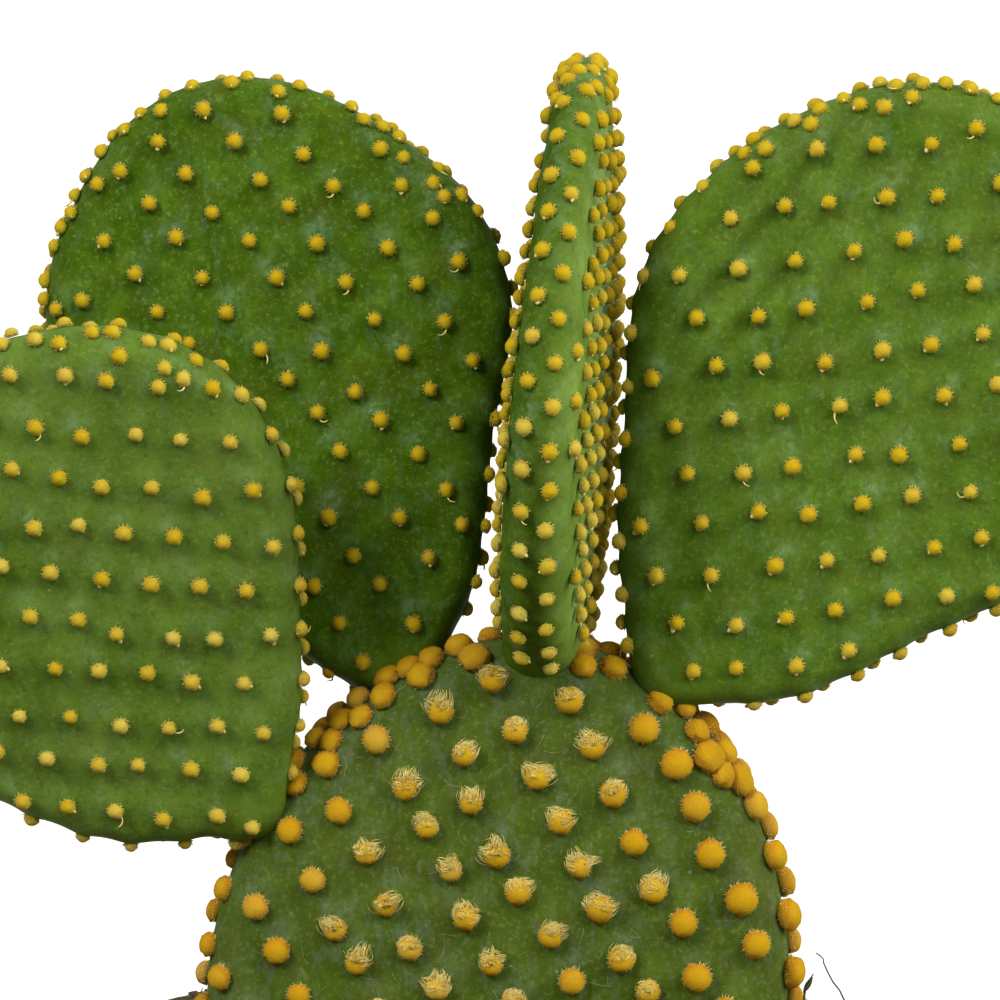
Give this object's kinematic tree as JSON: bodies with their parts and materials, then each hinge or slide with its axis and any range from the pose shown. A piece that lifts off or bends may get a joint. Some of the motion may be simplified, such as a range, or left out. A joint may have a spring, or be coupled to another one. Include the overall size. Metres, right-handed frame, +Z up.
{
  "type": "potted paddle cactus",
  "caption": "Bunny-ear cactus: a broad mother pad in the soil of a clay pot, with flat young pads on its rim, all studded with tufts of golden bristles.",
  "frame": {"origin": "centre of the pot's flat foot, on the surface that the pot stands on", "axes": "+Z up, +X to the right and +Y to the back, seen from the front as in the picture"},
  "size_m": [0.1846, 0.12, 0.2481],
  "materials": {
    "mother_skin": "living cactus skin, older and greyer green, fine-grained and matt, with amber bristle tufts",
    "young_skin": "living cactus skin, mid green, fine-grained with a slight waxy sheen, with golden bristle tufts",
    "soil": "gritty potting soil with moss and crumbs",
    "clay": "unglazed fired clay, matt"
  },
  "bodies": {
    "root": {"pad_mother": "mother_skin", "pad_back_left": "young_skin", "pad_front_left": "young_skin", "pad_centre": "young_skin", "pad_right": "young_skin", "soil": "soil", "pot": "clay"}
  },
  "joints": []
}
